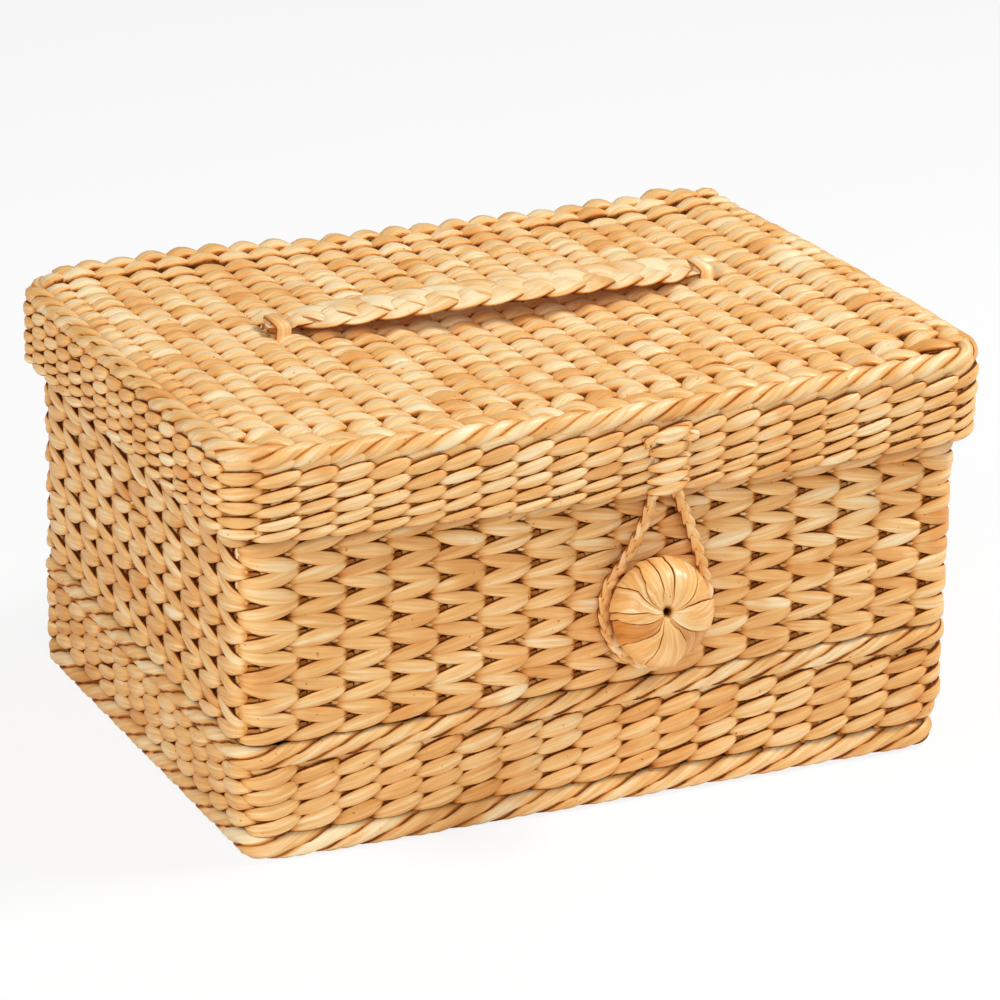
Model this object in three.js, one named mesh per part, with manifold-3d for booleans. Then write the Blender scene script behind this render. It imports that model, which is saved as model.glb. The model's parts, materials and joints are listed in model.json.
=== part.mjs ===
import * as THREE from "three";
import { mergeVertices } from "three/addons/utils/BufferGeometryUtils.js";
import Module from "manifold-3d";

// A lidded box twined from water-hyacinth strands, closed by a cord loop over a wrapped button.
// Millimetres, +Z up, front towards -Y, origin in the middle of the underside.

// Box
const BOX_WIDTH = 286; // over the twined wall, along X
const BOX_DEPTH = 212; // over the twined wall, along Y
const BOX_CORNER = 11; // outer radius of the four upright corners
const BOX_WALL = 6.5; // two weavers with a stake between them
const FLOOR_THICKNESS = 6;
const FOOT_HEIGHT = 11; // rope-laid border that the box stands on
const FOOT_WIDTH = 9;
const LOWER_HEIGHT = 26.8; // plain twining between foot and belt
const LOWER_COURSES = 4;
const BELT_HEIGHT = 9.6; // rope-laid border round the wall
const BORDER_PROUD = 1.2; // foot and belt stand out of the wall
const UPPER_HEIGHT = 91.2; // countered twining between belt and rim
const UPPER_COURSES = 16;
const RIM_HEIGHT = 7.4; // border that ends the wall, under the lid
const COURSE_BULGE = 1.2; // depth of the groove between two courses

// Lid
const LID_GAP = 1.6; // between the box wall and the skirt
const SKIRT_WALL = 5.4;
const SKIRT_HEIGHT = 23;
const SKIRT_COURSES = 5;
const PANEL_THICKNESS = 7;
const PANEL_COURSES = 24; // rows of twining from front to back
const PANEL_DROP = 2.5; // top of the border above the panel
const EDGE_HEIGHT = 9.6; // rope-laid border round the lid
const EDGE_WIDTH = 10;

// Hinge: two cord rings, each through the skirt and the back wall
const HINGE_CORD = 4;
const HINGE_RADIUS = 11; // from the axis to the middle of the cord
const HINGE_SPACING = 150;

// Handle: a flat plait held at each end by a strand loop through the panel
const STRAP_LENGTH = 182;
const STRAP_WIDTH = 20;
const STRAP_NECK = 10; // width at both ends, inside the loops
const STRAP_NECK_LENGTH = 9;
const STRAP_THICKNESS = 4;
const STRAP_RISE = 8; // finger room under its middle
const STRAP_X = 6;
const STRAP_Y = 13; // both ends are fixed behind the middle of the lid
const STRAP_BOW = 12; // its middle leans over to the front
const STRAP_ROUNDING = 1;
const TIE_INSET = 3.5; // from the strap's end to the middle of the loop
const TIE_WIDTH = 6;
const TIE_THICKNESS = 2.4;
const TIE_ROUNDING = 0.7;

// Clasp: a ball of wrapped strands on the box and a cord loop from the lid
const BUTTON_X = 10.5;
const BUTTON_DROP = 43.1; // its middle below the skirt's edge
const BUTTON_WIDTH = 39;
const BUTTON_DEPTH = 34;
const BUTTON_HEIGHT = 42;
const BUTTON_WRAPS = 12; // strands that run over the ball from back to front
const BUTTON_CREASE = 0.9; // depth of the groove between two strands
const BUTTON_DIMPLE = 4; // where the strands meet at the front
const SHANK_DIAMETER = 5;
const KNOT_DIAMETER = 13;
const KNOT_THICKNESS = 5.5;
const CLASP_X = 16;
const CORD_DIAMETER = 4.8;
const CORD_SPACING = 9.6; // between the loop's two ends in the skirt
const CORD_SINK = 1.5; // middle of the ends behind the skirt's face
const KEEPER_WIDTH = 18; // stitches that hold the cord's ends to the skirt
const KEEPER_PROUD = 3;
const TAIL_SPREAD = 5; // how far each cord end turns aside above the keeper
const TAIL_PROUD = 3;

const SEAT = 0.3; // clearance between pieces that lie on each other
const CORNER_STEPS = 6;
const CORD_SIDES = 8;

// Levels, from the floor up
const lowerBottom = FOOT_HEIGHT + SEAT;
const lowerTop = lowerBottom + LOWER_HEIGHT;
const beltBottom = lowerTop + SEAT;
const beltTop = beltBottom + BELT_HEIGHT;
const upperBottom = beltTop + SEAT;
const upperTop = upperBottom + UPPER_HEIGHT;
const rimBottom = upperTop + SEAT;
const rimTop = rimBottom + RIM_HEIGHT;
const panelBottom = rimTop + SEAT;
const panelTop = panelBottom + PANEL_THICKNESS;
const edgeTop = panelTop + PANEL_DROP;
const edgeBottom = edgeTop - EDGE_HEIGHT;
const skirtTop = edgeBottom - SEAT;
const skirtBottom = skirtTop - SKIRT_HEIGHT;

// Plan of the lid, outside the box wall all round
const lidOverhang = LID_GAP + SKIRT_WALL;
const lidWidth = BOX_WIDTH + 2 * lidOverhang;
const lidDepth = BOX_DEPTH + 2 * lidOverhang;
const lidCorner = BOX_CORNER + lidOverhang;

const wasm = await Module();
wasm.setup();

// A closed surface as a solid: shared corners merged, collapsed triangles at poles left out.
function solid(geometry) {
  geometry.deleteAttribute("normal");
  geometry.deleteAttribute("uv");
  const merged = mergeVertices(geometry, 1e-4);
  const index = merged.index.array;
  const triangles = [];
  for (let i = 0; i < index.length; i += 3) {
    const [a, b, c] = index.subarray(i, i + 3);
    if (a !== b && b !== c && c !== a) triangles.push(a, b, c);
  }
  const mesh = new wasm.Mesh({
    numProp: 3,
    vertProperties: merged.attributes.position.array,
    triVerts: new Uint32Array(triangles),
  });
  return new wasm.Manifold(mesh);
}

// A ring round a rounded rectangle: a lathe whose four quarters are drawn apart.
// A profile point is [inset from the outer face, height]; the profile goes up its outer side first.
function ring(width, depth, corner, profile) {
  const steps = 4 * CORNER_STEPS;
  const spread = 1 / Math.cos(Math.PI / steps);
  const points = profile.map(([inset, z]) => new THREE.Vector2((corner - inset) * spread, z));
  const lathe = new THREE.LatheGeometry([...points, points[0]], steps, Math.PI / steps);
  lathe.rotateX(Math.PI / 2);
  const position = lathe.getAttribute("position");
  for (let i = 0; i < position.count; i++) {
    const x = position.getX(i);
    const y = position.getY(i);
    const outX = x + Math.sign(x) * (width / 2 - corner);
    const outY = y + Math.sign(y) * (depth / 2 - corner);
    position.setXY(i, outX, outY);
  }
  return solid(lathe);
}

// A twined band: each course swells out of the wall and meets the next in a groove.
function bandProfile(wall, bottom, top, courses) {
  const pitch = (top - bottom) / courses;
  const outside = [];
  for (let course = 0; course < courses; course++) {
    const z = bottom + course * pitch;
    outside.push([COURSE_BULGE, z], [0, z + 0.3 * pitch], [0, z + 0.7 * pitch]);
  }
  return [...outside, [COURSE_BULGE, top], [wall, top], [wall, bottom]];
}

// A rope-laid border: a twelve-sided round that fills its width and height, flat where it rests.
function ropeProfile(outerInset, innerInset, bottom, top) {
  const sides = 12;
  const reach = 1 / Math.cos(Math.PI / sides);
  const profile = [];
  for (let i = 0; i < sides; i++) {
    const angle = ((2 * i + 1) * Math.PI) / sides - Math.PI / 2;
    const out = (1 + reach * Math.cos(angle)) / 2;
    const up = (1 + reach * Math.sin(angle)) / 2;
    profile.push([innerInset + out * (outerInset - innerInset), bottom + up * (top - bottom)]);
  }
  return profile;
}

// Turns an outline drawn in Y and Z, and extruded, to lie along X.
const ACROSS = new THREE.Matrix4().makeBasis(
  new THREE.Vector3(0, 1, 0),
  new THREE.Vector3(0, 0, 1),
  new THREE.Vector3(1, 0, 0),
);

function roundedRectangle(width, depth, corner) {
  const x = width / 2 - corner;
  const y = depth / 2 - corner;
  const outline = new THREE.Shape();
  outline.absarc(x, y, corner, 0, Math.PI / 2);
  outline.absarc(-x, y, corner, Math.PI / 2, Math.PI);
  outline.absarc(-x, -y, corner, Math.PI, 1.5 * Math.PI);
  outline.absarc(x, -y, corner, 1.5 * Math.PI, 2 * Math.PI);
  outline.closePath();
  return outline;
}

// A woven panel that lies flat, inset from the outer face of a rounded rectangle.
function panel(width, depth, corner, inset, bottom, top) {
  const outline = roundedRectangle(width - 2 * inset, depth - 2 * inset, corner - inset);
  const settings = { depth: top - bottom, bevelEnabled: false, curveSegments: CORNER_STEPS / 2 };
  const plate = new THREE.ExtrudeGeometry(outline, settings);
  plate.translate(0, 0, bottom);
  return solid(plate);
}

// The ridges of the lid panel's courses, which run along X, as a slab to shape the panel with.
function courseRidges(depth) {
  const pitch = depth / PANEL_COURSES;
  const groove = panelTop - COURSE_BULGE;
  const outline = new THREE.Shape();
  outline.moveTo(-depth / 2, panelBottom - PANEL_THICKNESS);
  outline.lineTo(depth / 2, panelBottom - PANEL_THICKNESS);
  outline.lineTo(depth / 2, groove);
  for (let course = 0; course < PANEL_COURSES; course++) {
    const y = depth / 2 - course * pitch;
    outline.lineTo(y - 0.3 * pitch, panelTop);
    outline.lineTo(y - 0.7 * pitch, panelTop);
    outline.lineTo(y - pitch, groove);
  }
  const slab = new THREE.ExtrudeGeometry(outline, { depth: lidWidth, bevelEnabled: false });
  slab.translate(0, 0, -lidWidth / 2);
  slab.applyMatrix4(ACROSS);
  return solid(slab);
}

function block(width, depth, height, x, y, z) {
  const made = new THREE.BoxGeometry(width, depth, height);
  made.translate(x, y, z);
  return solid(made);
}

// A round cord along points, cut square at both ends.
function cord(points, radius, steps) {
  const section = new THREE.Shape();
  section.absarc(0, 0, radius, 0, 2 * Math.PI);
  const extrudePath = new THREE.CatmullRomCurve3(points);
  const settings = { steps, curveSegments: CORD_SIDES / 2, bevelEnabled: false, extrudePath };
  return solid(new THREE.ExtrudeGeometry(section, settings));
}

// Hinge axis: in the gap behind the back wall, level with the skirt's lower edge.
const hingeY = BOX_DEPTH / 2 + LID_GAP / 2;
const hingeZ = skirtBottom;

function hingeRing(radius, x) {
  const torus = new THREE.TorusGeometry(HINGE_RADIUS, radius, CORD_SIDES, 28);
  torus.rotateY(Math.PI / 2);
  torus.translate(x, hingeY, hingeZ);
  return solid(torus);
}

const hingeSides = [-HINGE_SPACING / 2, HINGE_SPACING / 2];
const hingeTunnels = hingeSides.map((x) => hingeRing(HINGE_CORD / 2 + SEAT, x));

// The button's ball, its poles on the axis that points out of the wall.
const buttonY = -(BOX_DEPTH / 2 + SEAT + BUTTON_DEPTH / 2);
const buttonZ = skirtBottom - BUTTON_DROP;

function wrappedBall() {
  const ball = new THREE.SphereGeometry(1, 2 * BUTTON_WRAPS, 12);
  const position = ball.getAttribute("position");
  for (let i = 0; i < position.count; i++) {
    const [x, y, z] = [position.getX(i), position.getY(i), position.getZ(i)];
    const out = Math.hypot(x, z);
    const turn = Math.round((Math.atan2(z, x) * BUTTON_WRAPS) / Math.PI);
    const crease = turn % 2 === 0 ? 0 : BUTTON_CREASE * out;
    const dimple = y < 0 ? BUTTON_DIMPLE * Math.exp(-9 * out * out) : 0;
    position.setXYZ(
      i,
      x * (BUTTON_WIDTH / 2 - crease),
      y * (BUTTON_DEPTH / 2) + dimple,
      z * (BUTTON_HEIGHT / 2 - crease),
    );
  }
  ball.translate(BUTTON_X, buttonY, buttonZ);
  return solid(ball);
}

// The button's own cord: from inside the ball through the wall to a knot that can't pull through.
const wallInside = -(BOX_DEPTH / 2 - BOX_WALL);
const shankEnd = buttonY;
const knotY = wallInside + SEAT + KNOT_THICKNESS / 2;

function shank(diameter, from, to) {
  const made = new THREE.CylinderGeometry(diameter / 2, diameter / 2, to - from, 12);
  made.translate(BUTTON_X, (from + to) / 2, buttonZ);
  return solid(made);
}

function shankKnot() {
  const knot = new THREE.SphereGeometry(KNOT_DIAMETER / 2, 12, 8);
  knot.scale(1, KNOT_THICKNESS / KNOT_DIAMETER, 1);
  knot.translate(BUTTON_X, knotY, buttonZ);
  return solid(knot);
}

// The clasp cord's two ends, sunk in the skirt and turned aside above the keeper stitches.
const skirtFace = -lidDepth / 2;
const cordY = skirtFace + CORD_SINK;
const keeperTop = skirtTop - CORD_DIAMETER;

function claspEnd(side, radius, below) {
  const x = CLASP_X + (side * CORD_SPACING) / 2;
  const points = [
    new THREE.Vector3(x, cordY, skirtBottom - below),
    new THREE.Vector3(x, cordY, (skirtBottom + keeperTop) / 2),
    new THREE.Vector3(x, cordY, keeperTop - CORD_DIAMETER / 2),
    new THREE.Vector3(
      x + side * 0.4 * TAIL_SPREAD,
      cordY - 0.6 * TAIL_PROUD,
      keeperTop + CORD_DIAMETER / 4,
    ),
    new THREE.Vector3(
      x + side * TAIL_SPREAD,
      skirtFace - TAIL_PROUD,
      keeperTop + CORD_DIAMETER / 2,
    ),
  ];
  return cord(points, radius, 12);
}

// One strand wound over the two cord ends: a stitch beside each skirt course, flat at the back.
function keeperStitches() {
  const pitch = SKIRT_HEIGHT / SKIRT_COURSES;
  const radius = 0.55 * pitch;
  const behind = 1;
  const stitches = [];
  for (let course = 0; course < SKIRT_COURSES; course++) {
    const stitch = new THREE.CapsuleGeometry(radius, KEEPER_WIDTH - 2 * radius, 4, 10);
    stitch.rotateZ(Math.PI / 2);
    stitch.scale(1, (KEEPER_PROUD + behind) / radius, 1);
    stitch.translate(CLASP_X, skirtFace + behind, skirtBottom + (course + 0.5) * pitch);
    stitches.push(solid(stitch));
  }
  const wound = join(stitches[0], stitches.slice(1));
  return wound.trimByPlane([0, -1, 0], SEAT - skirtFace);
}

// The free part of the clasp cord: down from the skirt's edge and round behind the ball.
// Each point is [aside from the clasp's middle, drop below the skirt, lift from wall to skirt face].
const LOOP_ROUTE = [
  [-4.8, 0.3, 1],
  [-4.8, 3, 1],
  [-7.2, 12, 0.85],
  [-11, 21, 0.6],
  [-15, 28.5, 0.2],
  [-20, 36, 0],
  [-21.6, 44.5, 0],
  [-20, 53.5, 0],
  [-14.8, 61.5, 0],
  [-7.5, 67.2, 0],
  [1.5, 69.5, 0],
  [10.5, 66, 0],
  [17, 58, 0],
  [19.8, 48, 0.05],
  [19.4, 41, 0.15],
  [16.4, 31.5, 0.4],
  [13, 22, 0.6],
  [8.8, 12, 0.85],
  [4.8, 3, 1],
  [4.8, 0.3, 1],
];

function claspLoop() {
  const rest = -(BOX_DEPTH / 2 + 2 * SEAT + CORD_DIAMETER / 2);
  const points = LOOP_ROUTE.map(
    ([aside, drop, lift]) =>
      new THREE.Vector3(CLASP_X + aside, rest + lift * (cordY - rest), skirtBottom - drop),
  );
  return cord(points, CORD_DIAMETER / 2, 48);
}

// The handle's arch: a flat plait bent along an arc that rests on the panel at both ends.
const strapSeat = panelTop + SEAT;
const archRadius = (STRAP_LENGTH ** 2 / 4 + STRAP_RISE ** 2) / (2 * STRAP_RISE);
const archCentre = strapSeat + STRAP_RISE - archRadius;
const strapNeck = STRAP_LENGTH / 2 - STRAP_NECK_LENGTH;

function strap() {
  const half = Math.asin(STRAP_LENGTH / 2 / archRadius);
  const left = Math.PI / 2 + half;
  const right = Math.PI / 2 - half;
  const outline = new THREE.Shape();
  outline.absarc(0, archCentre, archRadius + STRAP_THICKNESS, right, left);
  outline.absarc(0, archCentre, archRadius, left, right, true);
  outline.closePath();
  const plait = new THREE.ExtrudeGeometry(outline, {
    depth: STRAP_WIDTH - 2 * STRAP_ROUNDING,
    curveSegments: 16,
    bevelThickness: STRAP_ROUNDING,
    bevelSize: STRAP_ROUNDING,
    bevelOffset: -STRAP_ROUNDING,
    bevelSegments: 2,
  });
  plait.translate(0, 0, STRAP_ROUNDING - STRAP_WIDTH / 2);
  plait.rotateX(Math.PI / 2);
  const bowed = solid(plait)
    .intersect(strapPlan())
    .refineToLength(STRAP_WIDTH / 2)
    .warp((point) => {
      point[1] -= STRAP_BOW * Math.max(0, 1 - (point[0] / strapNeck) ** 2);
    });
  return bowed.translate([STRAP_X, STRAP_Y, 0]);
}

// The strap's outline from above: full width along most of it, drawn in to a neck at both ends.
function strapPlan() {
  const end = STRAP_LENGTH;
  const full = strapNeck - STRAP_WIDTH / 2;
  const outline = new THREE.Shape();
  outline.moveTo(-end, -STRAP_NECK / 2);
  outline.lineTo(-strapNeck, -STRAP_NECK / 2);
  outline.lineTo(-full, -STRAP_WIDTH);
  outline.lineTo(full, -STRAP_WIDTH);
  outline.lineTo(strapNeck, -STRAP_NECK / 2);
  outline.lineTo(end, -STRAP_NECK / 2);
  outline.lineTo(end, STRAP_NECK / 2);
  outline.lineTo(strapNeck, STRAP_NECK / 2);
  outline.lineTo(full, STRAP_WIDTH);
  outline.lineTo(-full, STRAP_WIDTH);
  outline.lineTo(-strapNeck, STRAP_NECK / 2);
  outline.lineTo(-end, STRAP_NECK / 2);
  outline.closePath();
  const plan = new THREE.ExtrudeGeometry(outline, { depth: 2 * edgeTop, bevelEnabled: false });
  return solid(plan);
}

// The loop that holds a strap end: over the strap, down through the panel and across under it.
const tieX = STRAP_LENGTH / 2 - TIE_INSET;
const tieCrest = archCentre + Math.sqrt((archRadius + STRAP_THICKNESS) ** 2 - (tieX - TIE_WIDTH / 2) ** 2);
const tieLeg = STRAP_NECK / 2 + SEAT + TIE_THICKNESS / 2;

function strapTie() {
  const bottom = panelBottom - SEAT;
  const top = tieCrest + SEAT;
  const middle = (top + bottom) / 2;
  const width = 2 * tieLeg + TIE_THICKNESS;
  const height = top - bottom + 2 * TIE_THICKNESS;
  const outline = roundedRectangle(width, height, TIE_THICKNESS);
  const inner = roundedRectangle(width - 2 * TIE_THICKNESS, top - bottom, TIE_THICKNESS / 4);
  outline.holes.push(inner);
  const loop = new THREE.ExtrudeGeometry(outline, {
    depth: TIE_WIDTH - 2 * TIE_ROUNDING,
    curveSegments: 2,
    bevelThickness: TIE_ROUNDING,
    bevelSize: TIE_ROUNDING,
    bevelOffset: -TIE_ROUNDING,
    bevelSegments: 1,
  });
  loop.translate(0, 0, TIE_ROUNDING - TIE_WIDTH / 2);
  loop.applyMatrix4(ACROSS);
  loop.translate(0, STRAP_Y, middle);
  return solid(loop);
}

function tieSlot(x, y) {
  const middle = (panelBottom + panelTop) / 2;
  return block(
    TIE_WIDTH + 2 * SEAT,
    TIE_THICKNESS + 2 * SEAT,
    2 * PANEL_THICKNESS,
    STRAP_X + x,
    STRAP_Y + y,
    middle,
  );
}

// Pieces
function addPiece(parent, name, body, color, roughness) {
  const made = body.getMesh();
  const geometry = new THREE.BufferGeometry();
  geometry.setAttribute("position", new THREE.BufferAttribute(made.vertProperties, 3));
  geometry.setIndex(new THREE.BufferAttribute(made.triVerts, 1));
  const faceted = geometry.toNonIndexed();
  faceted.computeVertexNormals();
  const material = new THREE.MeshStandardMaterial({ color, roughness, metalness: 0 });
  const mesh = new THREE.Mesh(faceted, material);
  mesh.name = name;
  parent.add(mesh);
  return mesh;
}

const cut = (body, tools) => tools.reduce((left, tool) => left.subtract(tool), body);
const join = (body, others) => others.reduce((whole, other) => whole.add(other), body);

const root = new THREE.Group();
const box = new THREE.Group();
const lid = new THREE.Group();
const loop = new THREE.Group();
root.add(box, lid);
lid.add(loop);

const STRAW = 0xd9a55c; // box wall
const PALE_STRAW = 0xe6bd80; // lid
const ROPE_STRAW = 0xe0b168; // rope-laid borders
const CORD_STRAW = 0xd8a862;

const boxRing = (profile) => ring(BOX_WIDTH, BOX_DEPTH, BOX_CORNER, profile);
const lidRing = (profile) => ring(lidWidth, lidDepth, lidCorner, profile);

const floorInset = FOOT_WIDTH - BORDER_PROUD + SEAT;
const floor = panel(BOX_WIDTH, BOX_DEPTH, BOX_CORNER, floorInset, 0, FLOOR_THICKNESS);
addPiece(box, "floor_panel", floor, STRAW, 0.75);

const foot = ropeProfile(-BORDER_PROUD, FOOT_WIDTH - BORDER_PROUD, 0, FOOT_HEIGHT);
addPiece(box, "foot_border", boxRing(foot), ROPE_STRAW, 0.7);

const lower = bandProfile(BOX_WALL, lowerBottom, lowerTop, LOWER_COURSES);
addPiece(box, "lower_band", boxRing(lower), STRAW, 0.75);

const belt = ropeProfile(-BORDER_PROUD, BOX_WALL, beltBottom, beltTop);
addPiece(box, "belt_border", boxRing(belt), ROPE_STRAW, 0.7);

const upper = bandProfile(BOX_WALL, upperBottom, upperTop, UPPER_COURSES);
const shankHole = shank(SHANK_DIAMETER + 2 * SEAT, buttonY, -BOX_DEPTH / 2 + 2 * BOX_WALL);
addPiece(box, "upper_band", cut(boxRing(upper), [...hingeTunnels, shankHole]), STRAW, 0.75);

const rim = ropeProfile(0, BOX_WALL, rimBottom, rimTop);
addPiece(box, "rim_border", boxRing(rim), ROPE_STRAW, 0.7);

const buttonHole = shank(SHANK_DIAMETER + 2 * SEAT, shankEnd - SEAT, -BOX_DEPTH / 2);
addPiece(box, "button", cut(wrappedBall(), [buttonHole]), PALE_STRAW, 0.5);

const buttonCord = join(shank(SHANK_DIAMETER, shankEnd, knotY), [shankKnot()]);
addPiece(box, "button_cord", buttonCord, CORD_STRAW, 0.75);

addPiece(box, "hinge_tie_left", hingeRing(HINGE_CORD / 2, hingeSides[0]), CORD_STRAW, 0.75);
addPiece(box, "hinge_tie_right", hingeRing(HINGE_CORD / 2, hingeSides[1]), CORD_STRAW, 0.75);

const tieSlots = [
  tieSlot(-tieX, -tieLeg),
  tieSlot(-tieX, tieLeg),
  tieSlot(tieX, -tieLeg),
  tieSlot(tieX, tieLeg),
];
const panelInset = EDGE_WIDTH + SEAT;
const lidPlate = panel(lidWidth, lidDepth, lidCorner, panelInset, panelBottom, panelTop);
const lidPanel = lidPlate.intersect(courseRidges(lidDepth - 2 * panelInset));
addPiece(lid, "lid_panel", cut(lidPanel, tieSlots), PALE_STRAW, 0.7);

const edge = ropeProfile(0, EDGE_WIDTH, edgeBottom, edgeTop);
addPiece(lid, "lid_border", lidRing(edge), ROPE_STRAW, 0.65);

const skirt = bandProfile(SKIRT_WALL, skirtBottom, skirtTop, SKIRT_COURSES);
const cordTunnels = [-1, 1].map((side) => claspEnd(side, CORD_DIAMETER / 2 + SEAT, CORD_DIAMETER));
addPiece(lid, "lid_skirt", cut(lidRing(skirt), [...cordTunnels, ...hingeTunnels]), PALE_STRAW, 0.7);
addPiece(lid, "clasp_keeper", cut(keeperStitches(), cordTunnels), PALE_STRAW, 0.7);

addPiece(lid, "handle_strap", strap(), PALE_STRAW, 0.6);
addPiece(lid, "handle_tie_left", strapTie(), CORD_STRAW, 0.7).position.x = STRAP_X - tieX;
addPiece(lid, "handle_tie_right", strapTie(), CORD_STRAW, 0.7).position.x = STRAP_X + tieX;
addPiece(lid, "clasp_end_left", claspEnd(-1, CORD_DIAMETER / 2, 0), CORD_STRAW, 0.75);
addPiece(lid, "clasp_end_right", claspEnd(1, CORD_DIAMETER / 2, 0), CORD_STRAW, 0.75);
addPiece(loop, "clasp_loop", claspLoop(), CORD_STRAW, 0.75);

export default root;
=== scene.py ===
"""Dresses a twined box with its strands: walls, borders, lid, plaited handle and cord clasp."""

import json
import math

import bmesh
import bpy
import numpy as np
from mathutils import Matrix, Vector


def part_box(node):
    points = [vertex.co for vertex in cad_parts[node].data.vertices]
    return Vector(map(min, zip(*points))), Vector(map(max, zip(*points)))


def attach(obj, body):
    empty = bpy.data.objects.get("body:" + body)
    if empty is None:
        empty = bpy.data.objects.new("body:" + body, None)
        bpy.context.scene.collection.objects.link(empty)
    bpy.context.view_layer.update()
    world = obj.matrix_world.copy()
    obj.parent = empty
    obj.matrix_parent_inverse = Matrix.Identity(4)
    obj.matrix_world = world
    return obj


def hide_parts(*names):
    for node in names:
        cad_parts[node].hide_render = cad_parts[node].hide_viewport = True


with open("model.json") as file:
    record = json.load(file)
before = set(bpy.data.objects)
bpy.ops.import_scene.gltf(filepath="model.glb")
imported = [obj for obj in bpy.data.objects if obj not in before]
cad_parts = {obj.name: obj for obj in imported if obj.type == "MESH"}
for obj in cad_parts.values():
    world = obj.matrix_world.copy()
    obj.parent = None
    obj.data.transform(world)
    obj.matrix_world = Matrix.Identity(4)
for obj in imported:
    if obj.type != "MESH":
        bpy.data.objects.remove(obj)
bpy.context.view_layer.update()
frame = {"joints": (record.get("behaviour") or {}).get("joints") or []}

bl_info = {
    "name": "Twined Lidded Box",
    "version": (1, 0, 0),
    "blender": (4, 5, 0),
    "location": "View3D > Sidebar > Twined Box",
    "description": "Lays the strands of a twined box with a hinged lid round its construction",
    "category": "Object",
}

UP = np.array((0.0, 0.0, 1.0))


# Places that the construction gives
def low(node):
    return np.array(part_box(node)[0])


def high(node):
    return np.array(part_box(node)[1])


def middle(node):
    return (low(node) + high(node)) / 2


WALL_SIZE = (high("upper_band") - low("upper_band"))[:2]
LID_SIZE = (high("lid_border") - low("lid_border"))[:2]
HINGE = np.array(frame["joints"][0]["pos_m"])
CLASP = np.array(frame["joints"][1]["pos_m"])
LID_FRONT = low("lid_border")[1]

# The clasp cord's route: aside from the clasp's middle, drop below the skirt, and lift, which is
# 0 on the wall and 1 at the skirt.
LOOP_ROUTE = (
    (-0.0048, 0.0003, 1.0),
    (-0.0048, 0.003, 1.0),
    (-0.0072, 0.012, 0.85),
    (-0.011, 0.021, 0.6),
    (-0.015, 0.0285, 0.2),
    (-0.02, 0.036, 0.0),
    (-0.0216, 0.0445, 0.0),
    (-0.02, 0.0535, 0.0),
    (-0.0148, 0.0615, 0.0),
    (-0.0075, 0.0672, 0.0),
    (0.0015, 0.0695, 0.0),
    (0.0105, 0.066, 0.0),
    (0.017, 0.058, 0.0),
    (0.0198, 0.048, 0.05),
    (0.0194, 0.041, 0.15),
    (0.0164, 0.0315, 0.4),
    (0.013, 0.022, 0.6),
    (0.0088, 0.012, 0.85),
    (0.0048, 0.003, 1.0),
    (0.0048, 0.0003, 1.0),
)

# Straps of the button: where each begins, as angles round the hole at STRAP_DEPTHS from it,
# how proud it lies, its tone from pale to tan and its orange.
STRAP_DEPTHS = (0.1, 0.4, 0.75, 1.2)
STRAPS = (
    (-5, 9, 12, 11, -0.02, 0.3, 0.2),
    (5, 18, 33, 48, 0.005, 0.34, 0.5),
    (55, 73, 79, 89, 0.0, 0.28, 0.3),
    (125, 102, 103, 107, 0.012, 0.36, 0.6),
    (165, 150, 129, 121, 0.0, 0.3, 0.4),
    (172, 158, 146, 150, 0.015, 0.2, 0.0),
    (203, 181, 181, 178, 0.005, 0.36, 0.3),
    (222, 210, 197, 186, -0.012, 0.95, 1.0),
    (232, 241, 225, 215, 0.0, 0.45, 0.6),
    (240, 253, 254, 249, 0.02, 0.3, 0.1),
    (270, 300, 302, 285, -0.05, 0.62, 0.5),
    (297, 311, 324, 338, 0.015, 0.16, 0.0),
)

# One stitch: place along it, how far it lies in front of the stakes, how high, how broad, and how
# much painted shade it gets, most where its ends tuck under the stitches beside it. Its left end
# comes out from below the stitch before it, and its blunt right end lies on the next.
STITCH = np.array(
    (
        (-1.0, -1.0, 0.0, 0.75, 0.0),
        (-0.75, -0.5, -0.8, 0.55, 0.1),
        (-0.63, 0.1, -1.0, 0.36, 0.7),
        (-0.5, 0.38, -0.95, 0.52, 0.3),
        (-0.35, 0.62, -0.7, 0.72, 0.06),
        (-0.15, 0.86, -0.3, 0.9, 0.0),
        (0.05, 0.98, 0.05, 1.0, 0.0),
        (0.25, 1.0, 0.45, 0.97, 0.0),
        (0.4, 0.93, 0.75, 0.83, 0.0),
        (0.5, 0.75, 0.92, 0.66, 0.0),
        (0.59, 0.4, 1.0, 0.45, 0.25),
        (0.67, -0.1, 0.95, 0.38, 0.7),
        (0.8, -0.7, 0.6, 0.55, 0.1),
        (1.0, -1.0, 0.0, 0.75, 0.0),
    )
).T

# One stitch of the lid's top and the floor, pointed at both ends; its columns are those of STITCH.
LENS = np.array(
    (
        (-1.0, -1.0, 0.0, 0.7, 0.0),
        (-0.75, -0.6, -0.8, 0.5, 0.1),
        (-0.62, 0.0, -1.0, 0.26, 0.8),
        (-0.5, 0.36, -0.92, 0.48, 0.3),
        (-0.35, 0.65, -0.68, 0.73, 0.04),
        (-0.15, 0.91, -0.3, 0.95, 0.0),
        (0.0, 1.0, 0.0, 1.0, 0.0),
        (0.15, 0.94, 0.3, 0.95, 0.0),
        (0.35, 0.72, 0.68, 0.74, 0.04),
        (0.5, 0.44, 0.92, 0.5, 0.3),
        (0.62, 0.05, 1.0, 0.26, 0.8),
        (0.75, -0.6, 0.8, 0.5, 0.1),
        (1.0, -1.0, 0.0, 0.7, 0.0),
    )
).T

# Angles round a strand's section, closest at the rims of its face.
SECTION = np.radians((0, 22, 38, 66, 114, 142, 158, 180, 240, 300, 360))


def length(name, description, default):
    return bpy.props.FloatProperty(
        name=name, description=description, default=default, unit="LENGTH", precision=4
    )


def tint(name, description, default):
    return bpy.props.FloatVectorProperty(
        name=name, description=description, default=default, subtype="COLOR", size=3, min=0, max=1
    )


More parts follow.
